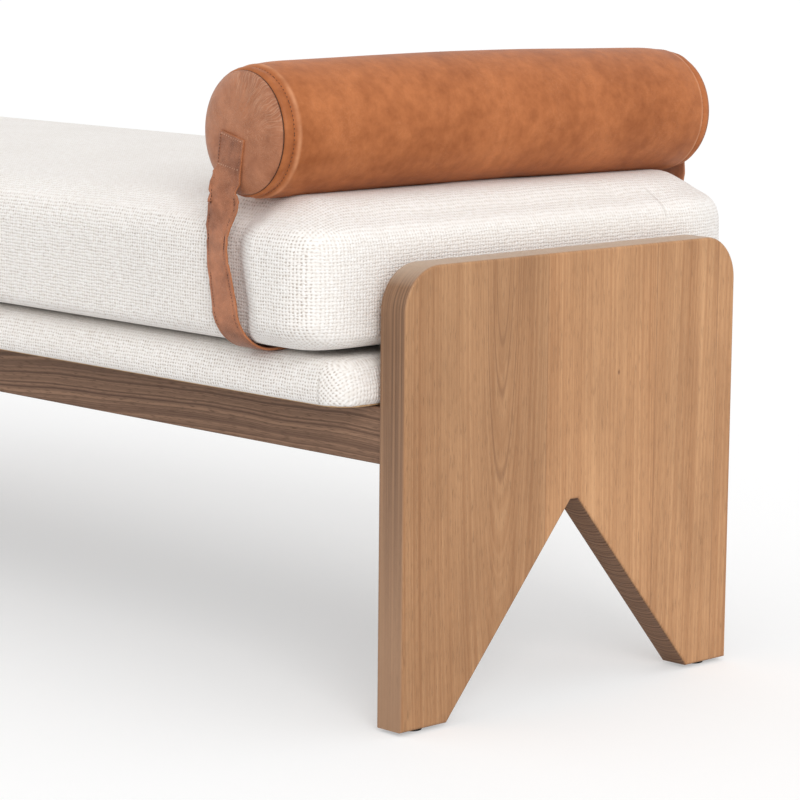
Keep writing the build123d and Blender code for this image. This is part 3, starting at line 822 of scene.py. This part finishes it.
# the seat cushion, pulled in by the strap and pressed by the bolster
seatShape = {
    "halfLength": 0.728, "halfWidth": 0.2795, "corner": 0.066, "nearCorner": 0.048, "bottom": 0.3273,
    "overStrap": 0.3302, "edgeTop": 0.4523, "top": 0.4673, "topRound": 0.028, "bottomRound": 0.022,
    "crownRun": 0.07, "drawIn": 0.0045, "shrink": 0.0045,
    "stuffing": {"voxel": 0.008, "travel": 0.005, "pressure": 4, "pinBelow": 0.340},
    "bulge": 0.0122, "bulgeRun": 0.030, "leftBulge": 0.004, "pinch": 0.0022, "pressedTop": 0.4626,
    "endSink": 0.0038, "endLift": 0.004,
}


def crownRings(shape):
    halfX, halfY = (shape[key] - shape["shrink"] for key in ("halfLength", "halfWidth"))
    rings = []
    for share in (0.12, 0.2, 0.32, 0.46, 0.62, 0.8, 0.93):
        left = 1 - share
        rise = 1 - left ** 2
        run = halfX - shape["topRound"] - shape["crownRun"] * (1 - math.sqrt(1 - rise ** 2))
        corner = min(shape["corner"], halfY * left) * 0.75
        z = shape["edgeTop"] - shape["shrink"] + rise * (shape["top"] - shape["edgeTop"])
        rings.append(roundedRing(run, halfY * left, corner, corner, z, shape["drawIn"] * left))
    return rings


# on one long side the strap pulls in, the foam swells past its edges, and the foot follows the strap's turn
def pressStrapSide(p, sign, side):
    shape = seatShape
    x, z = p[:, 0], p[:, 2]
    near = softStep(sign * p[:, 1], 0.215, 0.256) * softStep(z, 0.331, 0.356)
    near *= 1 - softStep(z, 0.448, 0.468)
    middle = strapAt(side, z)
    edge = strapShape["width"] / 2
    past = (x - middle - edge + 0.002) / shape["bulgeRun"]
    swell = shape["bulge"] * (0.6 * np.clip(past, 0, 1) + 0.4 * softStep(past, 0, 1))
    leftward = softStep(middle - x, edge - 0.002, edge + 0.024) * (1 - softStep(middle - x, 0.06, 0.16))
    swell += shape["leftBulge"] * leftward
    swell -= shape["pinch"] * (1 - softStep(np.abs(x - middle), 0.012, 0.024))
    p[:, 1] += sign * near * swell
    outward, downward = sign * p[:, 1] - strapShape["turnCentreY"], strapShape["turnCentreZ"] - z
    radii = [strapShape[key] - strapShape["cushionGap"] for key in ("turnY", "turnZ")]
    reach = np.hypot(np.clip(outward, 0, None) / radii[0], np.clip(downward, 0, None) / radii[1])
    over = (outward > 0) & (downward > 0) & (reach > 1)
    pull = np.where(over, 1 - 1 / np.maximum(reach, 1e-6), 0)
    pull *= 1 - softStep(np.abs(x - middle), 0.019, 0.034)
    p[:, 1] -= sign * outward * pull
    p[:, 2] += downward * pull


def pressSeat(p):
    shape = seatShape
    x, y, z = p[:, 0], p[:, 1], p[:, 2]
    y[:] = np.clip(y, -shape["halfWidth"] - 0.0005, shape["halfWidth"] + 0.0005)
    x[:] = np.clip(x, -shape["halfLength"], shape["halfLength"])
    z -= shape["endSink"] * softStep(x, 0.46, 0.58) * softStep(z, 0.41, 0.455)
    underBolster = softStep(x, 0.50, 0.58) * (1 - softStep(x, 0.655, 0.70))
    underBolster *= (1 - softStep(np.abs(y), 0.222, 0.262)) * softStep(z, 0.44, 0.452)
    z += np.maximum(shape["pressedTop"] - z, 0) * underBolster
    pressStrapSide(p, -1, "front")
    pressStrapSide(p, 1, "back")
    onStrap = 1 - softStep(np.abs(x - strapShape["underX"]), 0.018, 0.032)
    z[:] = np.maximum(z, shape["bottom"] + (shape["overStrap"] - shape["bottom"]) * onStrap)
    z += shape["endLift"] * softStep(np.abs(x), 0.66, 0.728) * (1 - softStep(z, 0.335, 0.40))


def makeSeat():
    shape = seatShape
    footShares, shoulderShares = (0.0, 0.3, 0.6, 0.85, 1.0), (0.0, 0.25, 0.5, 0.75, 0.92)
    rings = sideRings(shape, shape["edgeTop"], footShares, (0.2, 0.5, 0.8), shoulderShares)
    seat = stackRings("seatCushion", rings + crownRings(shape), seatCloth)
    stuff(seat, shape["stuffing"])
    refine(seat)
    p = readPoints(seat)
    pressSeat(p)
    writePoints(seat, p)
    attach(seat, "seat_cushion")
    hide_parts("seat_cover", "seat_wrap", "seat_foam_core")
    print("seat cushion made,", len(p), "points")
    return p


makeDeck()
seatPoints = makeSeat()

# bolster: sleeve between two caps, all in rings round its length
bolsterShape = {
    "x": 0.62175, "yaw": 1.17, "endZ": 0.5174, "arch": 0.00414, "half": 0.26974, "radius": 0.0594,
    "endRadii": (0.05306, 0.05459), "shoulder": 0.0457, "dome": 0.0108,
    "around": 180, "lengths": 110, "endPart": 0.031,
    "stuffing": {"travel": 0.0007, "pressure": 2, "bending": 2.0},
    "seam": (  # distance from the cap, and how far the hide dips there
        (0.0, 0.0024), (0.0006, 0.0008), (0.0014, -0.0001), (0.0026, -0.0007), (0.0042, -0.0006),
        (0.0060, -0.0001), (0.0074, 0.0004), (0.0084, 0.0008), (0.0092, 0.0013), (0.0100, 0.0018),
        (0.0108, 0.0012), (0.0118, 0.0002), (0.0134, -0.0008), (0.0160, -0.0006), (0.0200, -0.0001),
        (0.0260, 0.0),
    ),
    "capShares": (0.985, 0.96, 0.925, 0.88, 0.82, 0.75, 0.68, 0.6, 0.52, 0.44, 0.36, 0.28, 0.2, 0.12, 0.05),
    "sunk": 0.0010, "topstitchAt": 0.0100, "topstitches": 96, "cordThick": 0.0014,
}


# the roll lies slightly askew on the seat
def askew(points):
    yaw = math.radians(bolsterShape["yaw"])
    turned = np.array(points, dtype=float)
    across, along = turned[..., 0] - bolsterShape["x"], turned[..., 1].copy()
    turned[..., 0] = bolsterShape["x"] + across * math.cos(yaw) + along * math.sin(yaw)
    turned[..., 1] = along * math.cos(yaw) - across * math.sin(yaw)
    return turned


# place along, half width, half height and middle height of the sleeve at y
def bolsterRing(y):
    s = bolsterShape
    into = min(max((abs(y) - (s["half"] - s["shoulder"])) / s["shoulder"], 0), 1) ** 2.2
    wide, high = (s["radius"] - (s["radius"] - end) * into for end in s["endRadii"])
    return (y, wide, high, s["endZ"] + s["arch"] * (1 - (y / s["half"]) ** 2))


def noiseRound(angles, size, last):
    return np.array([noise.noise(Vector((math.cos(a) * size, math.sin(a) * size, last))) for a in angles])


# seam grooves, small puckers beside them, and broad unevenness in the hide
def sleeveShift(y, dip, angles):
    away = bolsterShape["half"] - abs(y)
    pucker = 0.00044 * math.exp(-away / 0.012) if away > 0.002 else 0.0
    return -dip + pucker * noiseRound(angles, 9, y * 40 + 3) + 0.0005 * noiseRound(angles, 1.3, y * 9)


# radiating creases on the cap's upper right as seen from the front, and broad unevenness
def capShift(share, side, turns):
    fan = np.exp(-((turns - math.radians(50)) / 0.6) ** 2)
    fan += 0.3 * np.exp(-((np.abs(turns) - math.radians(150)) / 0.5) ** 2)

    def waves(count, bend, spread, tall, last):
        bends = [noise.noise(Vector((spread * v, share * tall, last))) for v in turns]
        return np.sin(count * turns + bend * np.array(bends))

    wave = waves(19, 5, 3, 3, side) + 0.7 * waves(43, 6, 5, 4, side + 4)
    reach = softStep(share, 0.25, 0.55) * (1 - softStep(share, 0.88, 0.99))
    broad = noiseRound(turns, share * 2.2, side * 5) * (1 - softStep(share, 0.8, 0.97))
    return side * (0.0006 * reach * fan * wave + 0.0011 * broad)


# the whole roll as a grid of rings from front cap to back cap, with the two caps' middles
def bolsterGrid():
    s = bolsterShape
    around, caps = s["around"], len(s["capShares"])
    ends = [distance for distance, dip in s["seam"]]
    middle = list(np.linspace(s["endPart"] - s["half"], s["half"] - s["endPart"], s["lengths"]))
    stations = [d - s["half"] for d in ends] + middle + [s["half"] - d for d in reversed(ends)]
    dips = [dip for distance, dip in s["seam"]]
    dips = dips + [0.0] * len(middle) + dips[::-1]
    wide, high = s["endRadii"]
    capRings = []
    for share in s["capShares"]:
        y = s["half"] + s["dome"] * (1 - share ** 3.4) ** 0.8
        capRings.append((y, wide * share, high * share, s["endZ"]))
    frontRings = [(-y, *sizes) for y, *sizes in reversed(capRings)]
    rings = frontRings + [bolsterRing(y) for y in stations] + capRings
    total = len(rings)
    angles = np.arange(around) * 2 * math.pi / around
    points = []
    for y, halfWide, halfHigh, z in rings:
        points += [(s["x"] + halfWide * math.cos(a), y, z + halfHigh * math.sin(a)) for a in angles]
    points += [(s["x"], side * (s["half"] + s["dome"]), s["endZ"]) for side in (-1, 1)]
    faces = [face[::-1] for face in ringFaces(total, around)]
    first, last, start = total * around, total * around + 1, (total - 1) * around
    faces += [(first, k, (k + 1) % around) for k in range(around)]
    faces += [(last, start + (k + 1) % around, start + k) for k in range(around)]
    whole = makeObject("bolsterWhole", points, faces)
    stuff(whole, s["stuffing"])
    p = readPoints(whole)
    bpy.data.objects.remove(whole)
    grid, tips = p[: total * around].reshape(total, around, 3), p[total * around:]
    outward = grid - np.array([(s["x"], ring[0], ring[3]) for ring in rings])[:, None, :]
    outward[:, :, 1] = 0
    outward /= np.maximum(np.linalg.norm(outward, axis=2, keepdims=True), 1e-9)
    turns = np.arctan2(outward[:, :, 2], outward[:, :, 0])
    for level, ring in enumerate(rings):
        if caps <= level < total - caps:
            grid[level] += outward[level] * sleeveShift(ring[0], dips[level - caps], angles)[:, None]
        else:
            grid[level, :, 1] += capShift(ring[1] / wide, -1 if level < caps else 1, turns[level])
    grid, tips = askew(grid), askew(tips)
    # the underside lies on the cushion's crown
    near = seatPoints[(np.abs(seatPoints[:, 0] - s["x"]) < 0.03) & (seatPoints[:, 2] > 0.44)]
    for level, ring in enumerate(rings):
        across = near[np.abs(near[:, 1] - ring[0]) < 0.008]
        if len(across):
            grid[level, :, 2] = np.maximum(grid[level, :, 2], float(across[:, 2].max()) - s["sunk"])
    return grid, tips, angles


def makeSleeve(grid):
    caps, around = len(bolsterShape["capShares"]), bolsterShape["around"]
    rows = grid[caps:len(grid) - caps]
    faces = [face[::-1] for face in ringFaces(len(rows), around)]
    sleeve = makeObject("bolsterSleeve", rows.reshape(-1, 3), faces, leathers["sleeveLeather"])
    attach(sleeve, "bolster")
    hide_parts("bolster_sleeve", "bolster_wrap", "bolster_core")


def makeCap(node, rows, tip, front):
    around = bolsterShape["around"]
    faces = [face[::-1] for face in ringFaces(len(rows), around)]
    count = len(rows) * around
    points = np.vstack([rows.reshape(-1, 3), tip])
    cap = makeObject(node.replace("bolster_", "bolsterCap_"), points, faces, leathers["capLeather"])
    inner = 0 if front else count - around  # the ring next to the cap's middle
    finishFaces(cap, [(count, inner + k, inner + (k + 1) % around) for k in range(around)])
    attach(cap, "bolster")
    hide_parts(node)


# small capsules for stitches: a list of (place, direction, outward) makes one mesh
stitchRings = ((-0.5, 0.35), (-0.38, 0.85), (0.0, 1.0), (0.38, 0.85), (0.5, 0.35))


def makeStitches(name, places, length, thick, material):
    points, faces, count = [], [], 6
    for place, along, outward in places:
        along, outward = Vector(along).normalized(), Vector(outward).normalized()
        across = along.cross(outward)
        start = len(points)
        for share, size in stitchRings:
            sink = thick * 0.8 * (share * 2) ** 2
            for k in range(count):
                a = k * 2 * math.pi / count
                radius = thick / 2 * size
                offset = across * (math.cos(a) * radius) + outward * (math.sin(a) * radius - sink)
                points.append(Vector(place) + along * share * length + offset)
        faces += ringFaces(len(stitchRings), count, start) + endFaces(len(stitchRings), count, start)
    obj = makeObject(name, points, [face[::-1] for face in faces], material)
    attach(obj, "bolster")


# a dark ring round each cap's seam, standing in for the seam's thread and painting the shade in its groove
def makeSeamShadowRing(name, side):
    s = bolsterShape
    points, around, count = [], s["around"], 6
    thick = s["cordThick"] / 2
    for k in range(around):
        a = k * 2 * math.pi / around
        for j in range(count):
            b = j * 2 * math.pi / count
            wide, high = (radius - s["cordThick"] + thick * math.cos(b) for radius in s["endRadii"])
            y = side * s["half"] + thick * math.sin(b)
            points.append((s["x"] + wide * math.cos(a), y, s["endZ"] + high * math.sin(a)))
    faces = [tuple(i % (around * count) for i in face) for face in ringFaces(around + 1, count)]
    shadowRing = makeObject(name, askew(points), faces, plains["seamShadow"])
    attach(shadowRing, "bolster")


def makeBolster():
    s = bolsterShape
    grid, tips, angles = bolsterGrid()
    caps = len(s["capShares"])
    makeSleeve(grid)
    makeCap("bolster_front_cap", grid[:caps + 1], tips[0], True)
    makeCap("bolster_back_cap", grid[len(grid) - caps - 1:], tips[1], False)
    makeSeamShadowRing("frontSeamShadow", -1)
    makeSeamShadowRing("backSeamShadow", 1)
    level = caps + [distance for distance, dip in s["seam"]].index(s["topstitchAt"])
    places = []
    for ring in (grid[level], grid[len(grid) - 1 - level]):
        for k in range(s["topstitches"]):
            index = int(k * len(ring) / s["topstitches"])
            a = angles[index]
            outward = Vector((math.cos(a), 0, math.sin(a)))
            along = Vector((-math.sin(a), 0, math.cos(a)))
            places.append((Vector(ring[index]) + outward * 0.0001, along, outward))
    makeStitches("sleeveTopstitch", places, 0.0027, 0.0012, plains["stitchThread"])
    print("bolster made")


makeBolster()

# strap: a flat ribbon with a tab on each cap, down the cushion's side and under it
strapTabs = {  # corners on the cap as x, z: top left, top right, bottom right, bottom left
    "front": ((0.5985, 0.5195), (0.6292, 0.5120), (0.6226, 0.4836), (0.5925, 0.4888)),
    "back": ((0.6060, 0.5180), (0.6372, 0.5195), (0.6365, 0.4865), (0.6045, 0.4850)),
}
strapRows = {"tab": 9, "side": 46, "turn": 16, "under": 24, "underEnd": 0.245, "sightShift": 1.03}
strapProfile = (
    (-1.0, -0.32), (-1.0, 0.32), (-0.955, 0.5), (-0.86, 0.5), (-0.8, 0.32), (-0.74, 0.5), (-0.5, 0.52),
    (-0.25, 0.54), (0.0, 0.55), (0.25, 0.54), (0.5, 0.52), (0.74, 0.5), (0.8, 0.32), (0.86, 0.5),
    (0.955, 0.5), (1.0, 0.32), (1.0, -0.32), (0.955, -0.5), (0.5, -0.5), (0.0, -0.5), (-0.5, -0.5),
    (-0.955, -0.5),
)
stitching = {
    "pitch": 0.0029, "length": 0.0021, "paleThick": 0.0009, "darkThick": 0.0008, "inset": 0.87,
    "edges": (-0.8, 0.8), "rows": (11, 60), "sunk": 0.40,
    "paleThread": "paleThread", "darkThread": "stitchThread",
}


def tabRise(share):
    top, low = strapShape["tabRise"]
    return top + (low - top) * share


# rows of (centre, across, outward, half width) from a tab's top to the strap's lowest point
def ribbonRows(side):
    shape = strapShape
    sign = -1 if side == "front" else 1
    half = shape["width"] / 2
    mid = shape["inner"] + shape["thickness"] / 2
    rows = []
    topLeft, topRight, lowRight, lowLeft = (Vector((x, 0, z)) for x, z in strapTabs[side])
    for share in np.linspace(0, 1, strapRows["tab"]):
        left, right = topLeft.lerp(lowLeft, share), topRight.lerp(lowRight, share)
        centre, across = (left + right) / 2, right - left
        centre.y = sign * (mid + tabRise(share))
        rows.append((centre, across.normalized(), Vector((0, sign, 0)), across.length / 2))
    top, low = strapSides[side][0], strapSides[side][-1]
    for z in np.linspace(top[1] - 0.003, low[1], strapRows["side"]):
        x, turn, lift = (float(strapAt(side, z, column)) for column in (0, 2, 3))
        tilt = math.radians(turn)
        slope = float(strapAt(side, z - 0.004) - strapAt(side, z + 0.004)) / 0.008
        across = Vector((math.cos(tilt), -sign * math.sin(tilt), math.cos(tilt) * slope)).normalized()
        stand = lift + abs(math.sin(tilt)) * half * 0.5
        if side == "front":  # the places were read from one viewpoint, where standing off looks like a shift
            x += strapRows["sightShift"] * stand
        outward = Vector((-sign * across.y, sign * across.x, 0)).normalized()
        rows.append((Vector((x, sign * (mid + stand), z)), across, outward, half))
    for step in range(1, strapRows["turn"] + 1):
        share = step / strapRows["turn"]
        a = math.pi / 2 * share
        x = low[0] + (shape["underX"] - low[0]) * share
        y = shape["turnCentreY"] + shape["turnY"] * math.cos(a)
        z = shape["turnCentreZ"] - shape["turnZ"] * math.sin(a)
        outward = Vector((0, sign * math.cos(a), -math.sin(a)))
        rows.append((Vector((x, sign * y, z)), Vector((1, 0, 0)), outward, half))
    return rows


# soft dents where the strap bends
def strapFold(u, z):
    fold = 0.0011 * noise.noise(Vector((u * 1.6, z * 95, 1.0)))
    fold += 0.0007 * noise.noise(Vector((u * 4, z * 260, 6.0)))
    return fold * (1 + 1.6 * math.exp(-((z - 0.464) / 0.016) ** 2))


def makeStrap():
    shape = strapShape
    front, back = ribbonRows("front"), ribbonRows("back")
    under = []
    for y in np.linspace(-strapRows["underEnd"], strapRows["underEnd"], strapRows["under"]):
        centre = Vector((shape["underX"], y, front[-1][0].z))
        under.append((centre, Vector((1, 0, 0)), Vector((0, 0, -1)), shape["width"] / 2))
    rows = front + under + back[::-1]
    folded = range(strapRows["tab"], strapRows["tab"] + 36)
    points = []
    for index, (centre, across, outward, half) in enumerate(rows):
        for u, v in strapProfile:
            fold = strapFold(u, centre.z) if index in folded else 0.0
            points.append(centre + across * (u * half) + outward * (v * shape["thickness"] + fold))
    count = len(strapProfile)
    faces = ringFaces(len(rows), count) + endFaces(len(rows), count)
    cutEdges = (0, 15)  # the profile's upright steps
    slots = [int(k in cutEdges) for k in range(count)] * (len(rows) - 1) + [1, 1]
    strap = makeObject("bolsterStrap", points, faces, leathers["strapLeather"], plains["cutLeather"])
    strap.data.polygons.foreach_set("material_index", slots)
    finishFaces(strap)
    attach(strap, "bolster")
    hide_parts("bolster_strap")
    print("strap made")


# pale stitches across each tab's ends, dark ones down its sides and along the strap
def makeStrapStitches():
    pale, dark = [], []
    for sign, side in ((-1, "front"), (1, "back")):
        topZ, lowZ = strapTabs[side][0][1], strapTabs[side][3][1]
        tab = [Vector((x, 0, z)) for x, z in strapTabs[side]]
        middle = sum(tab, Vector()) / len(tab)
        tab = [middle + (corner - middle) * stitching["inset"] for corner in tab]
        for k, (a, b) in enumerate(zip(tab, tab[1:] + tab[:1])):
            number = round((b - a).length / stitching["pitch"])
            for step in range(number):
                spot = a.lerp(b, (step + 0.5) / number)
                rise = tabRise((topZ - spot.z) / (topZ - lowZ))
                spot.y = sign * (strapShape["inner"] + strapShape["thickness"] + rise + 0.0001)
                (dark if k % 2 else pale).append((spot, b - a, (0, sign, 0)))
        run = ribbonRows(side)[slice(*stitching["rows"])]
        for u in stitching["edges"]:
            for (centre, across, outward, half), following in zip(run, run[1:]):
                spot = centre + across * (u * half) + outward * (stitching["sunk"] * strapShape["thickness"])
                dark.append((spot, following[0] - centre, outward))
    for name, places, kind in (("tabStitches", pale, "pale"), ("strapEdgeStitches", dark, "dark")):
        material, thick = plains[stitching[kind + "Thread"]], stitching[kind + "Thick"]
        makeStitches(name, places, stitching["length"], thick, material)
    print("strap stitched")


makeStrap()
makeStrapStitches()

# floor, soft lights and white surroundings
lightSetup = {
    "world": 0.80,
    "sun": {"towards": (0.74, -0.48, 0.47), "spread": 30, "strength": 1.3, "away": 4},
    "floor": {"glow": 0.40, "seen": 0.62, "lit": 0.78, "reach": 45},
}


def makeSun(settings):
    data = bpy.data.lights.new("keySun", "SUN")
    data.angle = math.radians(settings["spread"])
    data.energy = settings["strength"]
    lamp = bpy.data.objects.new("keySun", data)
    lamp.rotation_euler = Vector(settings["towards"]).to_track_quat("Z", "Y").to_euler()
    lamp.location = Vector(settings["towards"]) * settings["away"]
    scene.collection.objects.link(lamp)


def makeWorld(strength):
    world = bpy.data.worlds.new("studio")
    world.use_nodes = True
    scene.world = world
    shaderTree["current"] = world.node_tree
    path = put("LightPath").outputs
    seen = calc("MAXIMUM", Wire(path["Is Glossy Ray"]), Wire(path["Is Transmission Ray"]))
    seen = calc("MAXIMUM", Wire(path["Is Camera Ray"]), seen)
    background = world.node_tree.nodes["Background"].inputs
    feed(background["Color"], (1, 1, 1, 1))
    feed(background["Strength"], mixed(seen, strength, 1.0))


# the floor lights the bench as a grey one would, and looks nearly white itself
def makeFloor(paint):
    same = {"Emission Strength": 1.0, "Specular IOR Level": 0.0}
    material, shader = startMaterial("floorPaint", 0.9, **same)[:2]
    seen = wire("LightPath", {}, "Is Camera Ray")
    shade = mixed(seen, paint["lit"], paint["seen"])
    feed(shader["Base Color"], join(shade, shade, shade))
    glow = seen * paint["glow"]
    feed(shader["Emission Color"], join(glow, glow, glow))
    reach = paint["reach"]
    places = [(-reach, -reach, 0), (reach, -reach, 0), (reach, reach, 0), (-reach, reach, 0)]
    makeObject("studioFloor", places, [(0, 1, 2, 3)], material)


makeSun(lightSetup["sun"])
makeWorld(lightSetup["world"])
makeFloor(lightSetup["floor"])
print("stage lit")
